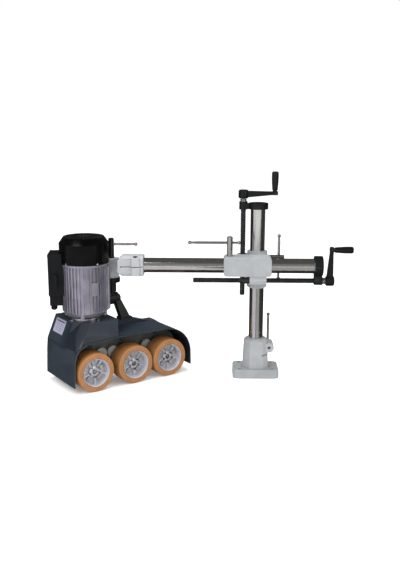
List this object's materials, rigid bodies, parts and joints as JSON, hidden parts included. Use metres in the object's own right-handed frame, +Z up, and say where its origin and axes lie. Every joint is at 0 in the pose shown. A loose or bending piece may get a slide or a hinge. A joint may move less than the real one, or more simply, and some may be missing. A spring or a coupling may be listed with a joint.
{
  "type": "power feeder",
  "caption": "Powered stock feeder: sprung drive wheels under a hood, upright motor, and a clamped column-and-overarm stand with crank-driven lift and traverse screws.",
  "frame": {"origin": "centre of the foot's underside, on the column axis", "axes": "+Z up the column, +X along the overarm towards its crank, +Y to the rear; the feed head hangs at -X, turned 36 degrees about Z"},
  "size_m": [0.9501, 0.3272, 0.6478],
  "materials": {
    "cast_paint": "light grey enamel on a casting",
    "bright_tube": "ground and plated",
    "dark_steel": "blackened",
    "black_cast": "satin black",
    "grip_plastic": "satin black",
    "stud_plate": "plated",
    "hood_paint": "dark blue-grey enamel",
    "cowl_black": "gloss black",
    "motor_alu": "silver lacquered die casting",
    "flange_alu": "turned",
    "hub_alu": "machined die casting",
    "tyre_orange": "satin cast polyurethane",
    "box_black": "satin black",
    "arm_grey": "as cast",
    "gear_steel": "machined",
    "winding": "laminations with copper ends",
    "bronze": "bronze",
    "label": "plain silver plate"
  },
  "bodies": {
    "stand": {"base_casting": "cast_paint"},
    "base_stud": {"base_stud": "stud_plate"},
    "base_bar": {"base_bar": "stud_plate"},
    "column": {"column_tube": "bright_tube", "column_cap": "black_cast"},
    "lift_screw": {"lift_screw": "dark_steel", "lift_crank": "black_cast"},
    "lift_grip": {"lift_grip": "grip_plastic"},
    "carriage": {"cross_block": "cast_paint", "lift_nut": "bronze", "traverse_nut": "grip_plastic"},
    "arm_stud": {"arm_stud": "stud_plate"},
    "arm_bar": {"arm_bar": "stud_plate"},
    "column_stud": {"column_stud": "stud_plate"},
    "column_bar": {"column_bar": "stud_plate"},
    "overarm": {"arm_tube": "bright_tube", "arm_cap": "black_cast"},
    "traverse_screw": {"traverse_screw": "dark_steel", "traverse_crank": "black_cast"},
    "traverse_grip": {"traverse_grip": "grip_plastic"},
    "knuckle": {"knuckle": "cast_paint", "knuckle_bolt": "dark_steel"},
    "swivel": {"swivel_bracket": "black_cast", "tilt_bolt": "dark_steel"},
    "swivel_stud": {"swivel_stud": "dark_steel", "swivel_bar": "stud_plate"},
    "head": {"head_bracket": "black_cast", "hood": "hood_paint", "gear_case": "arm_grey", "rating_plate": "label", "motor_flange": "flange_alu", "motor_body": "motor_alu", "stator": "winding", "motor_bearings": "gear_steel", "fan_cowl": "cowl_black", "motor_screws": "stud_plate", "switch_box": "box_black", "cable_gland": "box_black", "spring_left": "gear_steel", "spring_mid": "gear_steel", "spring_right": "gear_steel"},
    "rotor": {"rotor": "gear_steel", "fan": "box_black"},
    "cross_shaft": {"cross_shaft": "gear_steel"},
    "switch_knob": {"switch_knob": "box_black"},
    "drive_left": {"drive_shaft_left": "gear_steel"},
    "arm_left": {"swing_arm_left": "arm_grey", "chain_left": "gear_steel"},
    "wheel_left": {"wheel_hub_left": "hub_alu", "tyre_left": "tyre_orange"},
    "drive_mid": {"drive_shaft_mid": "gear_steel"},
    "arm_mid": {"swing_arm_mid": "arm_grey", "chain_mid": "gear_steel"},
    "wheel_mid": {"wheel_hub_mid": "hub_alu", "tyre_mid": "tyre_orange"},
    "drive_right": {"drive_shaft_right": "gear_steel"},
    "arm_right": {"swing_arm_right": "arm_grey", "chain_right": "gear_steel"},
    "wheel_right": {"wheel_hub_right": "hub_alu", "tyre_right": "tyre_orange"}
  },
  "joints": [
    {"name": "base_lock", "type": "hinge", "parent": "stand", "child": "base_stud", "pos_m": [0.042, 0, 0.095], "axis": [0, 1, 0], "range_deg": [-80, 80]},
    {"name": "base_bar_slide", "type": "slide", "parent": "base_stud", "child": "base_bar", "axis": [0, 0, 1], "range_m": [-0.02, 0.018]},
    {"name": "column_turn", "type": "hinge", "parent": "stand", "child": "column", "pos_m": [0, 0, 0.1], "axis": [0, 0, 1], "range_deg": [-170, 170]},
    {"name": "lift_crank_turn", "type": "hinge", "parent": "column", "child": "lift_screw", "pos_m": [-0.0455, 0, 0.54], "axis": [0, 0, 1], "continuous": true},
    {"name": "lift_grip_spin", "type": "hinge", "parent": "lift_screw", "child": "lift_grip", "pos_m": [0.0505, 0, 0.62], "axis": [0, 0, 1], "continuous": true},
    {"name": "carriage_lift", "type": "slide", "parent": "column", "child": "carriage", "axis": [0, 0, 1], "range_m": [0, 0.12]},
    {"name": "arm_lock", "type": "hinge", "parent": "carriage", "child": "arm_stud", "pos_m": [-0.087, -0.055, 0.4], "axis": [0, 0, 1], "range_deg": [-90, 90]},
    {"name": "arm_bar_slide", "type": "slide", "parent": "arm_stud", "child": "arm_bar", "axis": [1, 0, 0], "range_m": [-0.012, 0.1]},
    {"name": "column_lock", "type": "hinge", "parent": "carriage", "child": "column_stud", "pos_m": [0.04, 0, 0.383], "axis": [1, 0, 0], "range_deg": [-28, 70]},
    {"name": "column_bar_slide", "type": "slide", "parent": "column_stud", "child": "column_bar", "axis": [0, 0, 1], "range_m": [-0.045, 0.045]},
    {"name": "overarm_traverse", "type": "slide", "parent": "carriage", "child": "overarm", "axis": [1, 0, 0], "range_m": [-0.095, 0.1]},
    {"name": "traverse_crank_turn", "type": "hinge", "parent": "overarm", "child": "traverse_screw", "pos_m": [0.19, -0.055, 0.32], "axis": [1, 0, 0], "continuous": true},
    {"name": "traverse_grip_spin", "type": "hinge", "parent": "traverse_screw", "child": "traverse_grip", "pos_m": [0.25, -0.055, 0.416], "axis": [1, 0, 0], "continuous": true},
    {"name": "knuckle_roll", "type": "hinge", "parent": "overarm", "child": "knuckle", "pos_m": [-0.39, -0.055, 0.366], "axis": [1, 0, 0], "range_deg": [-60, 60]},
    {"name": "head_swivel", "type": "hinge", "parent": "knuckle", "child": "swivel", "pos_m": [-0.455, -0.01, 0.34], "axis": [0, 0, 1], "range_deg": [-180, 18]},
    {"name": "swivel_lock", "type": "hinge", "parent": "swivel", "child": "swivel_stud", "pos_m": [-0.455, -0.01, 0.42], "axis": [0, 0, 1], "range_deg": [-60, 60]},
    {"name": "head_tilt", "type": "hinge", "parent": "swivel", "child": "head", "pos_m": [-0.455, -0.01, 0.25], "axis": [-0.809, -0.5878, 0], "range_deg": [-18, 60]},
    {"name": "rotor_spin", "type": "hinge", "parent": "head", "child": "rotor", "pos_m": [-0.52863, -0.07709, 0.3], "axis": [0, 0, 1], "continuous": true},
    {"name": "cross_shaft_spin", "type": "hinge", "parent": "head", "child": "cross_shaft", "pos_m": [-0.43913, -0.03184, 0.122], "axis": [0.809, 0.5878, 0], "continuous": true},
    {"name": "switch_turn", "type": "hinge", "parent": "head", "child": "switch_knob", "pos_m": [-0.60746, -0.13062, 0.33], "axis": [0.1045, -0.9945, 0], "range_deg": [-60, 60]},
    {"name": "drive_spin_left", "type": "hinge", "parent": "head", "child": "drive_left", "pos_m": [-0.49562, -0.07659, 0.095], "axis": [-0.5878, 0.809, 0], "continuous": true},
    {"name": "arm_swing_left", "type": "hinge", "parent": "head", "child": "arm_left", "pos_m": [-0.48386, -0.09277, 0.095], "axis": [-0.5878, 0.809, 0], "range_deg": [0, 5], "stiffness_Nm_per_rad": 120, "springref_deg": -6.88, "deforming": ["spring_left"]},
    {"name": "wheel_spin_left", "type": "hinge", "parent": "arm_left", "child": "wheel_left", "pos_m": [-0.50145, -0.15499, 0.06], "axis": [-0.5878, 0.809, 0], "continuous": true},
    {"name": "drive_spin_mid", "type": "hinge", "parent": "head", "child": "drive_mid", "pos_m": [-0.46406, -0.05367, 0.095], "axis": [-0.5878, 0.809, 0], "continuous": true},
    {"name": "arm_swing_mid", "type": "hinge", "parent": "head", "child": "arm_mid", "pos_m": [-0.45231, -0.06985, 0.095], "axis": [0.5878, -0.809, 0], "range_deg": [0, 5], "stiffness_Nm_per_rad": 120, "springref_deg": -6.88, "deforming": ["spring_mid"]},
    {"name": "wheel_spin_mid", "type": "hinge", "parent": "arm_mid", "child": "wheel_mid", "pos_m": [-0.39093, -0.0747, 0.06], "axis": [-0.5878, 0.809, 0], "continuous": true},
    {"name": "drive_spin_right", "type": "hinge", "parent": "head", "child": "drive_right", "pos_m": [-0.36617, 0.01745, 0.095], "axis": [-0.5878, 0.809, 0], "continuous": true},
    {"name": "arm_swing_right", "type": "hinge", "parent": "head", "child": "arm_right", "pos_m": [-0.35442, 0.00127, 0.095], "axis": [0.5878, -0.809, 0], "range_deg": [0, 5], "stiffness_Nm_per_rad": 120, "springref_deg": -6.88, "deforming": ["spring_right"]},
    {"name": "wheel_spin_right", "type": "hinge", "parent": "arm_right", "child": "wheel_right", "pos_m": [-0.29094, -0.00205, 0.06], "axis": [-0.5878, 0.809, 0], "continuous": true}
  ],
  "couplings": [
    {"joint": "lift_crank_turn", "follows": "carriage_lift", "rad_per_m": 1256.6},
    {"joint": "traverse_crank_turn", "follows": "overarm_traverse", "rad_per_m": -1256.6},
    {"joint": "cross_shaft_spin", "follows": "rotor_spin", "ratio": 0.083333},
    {"joint": "drive_spin_left", "follows": "rotor_spin", "ratio": 0.020833},
    {"joint": "wheel_spin_left", "follows": "rotor_spin", "ratio": 0.020833},
    {"joint": "drive_spin_mid", "follows": "rotor_spin", "ratio": 0.020833},
    {"joint": "wheel_spin_mid", "follows": "rotor_spin", "ratio": 0.020833},
    {"joint": "drive_spin_right", "follows": "rotor_spin", "ratio": 0.020833},
    {"joint": "wheel_spin_right", "follows": "rotor_spin", "ratio": 0.020833}
  ]
}
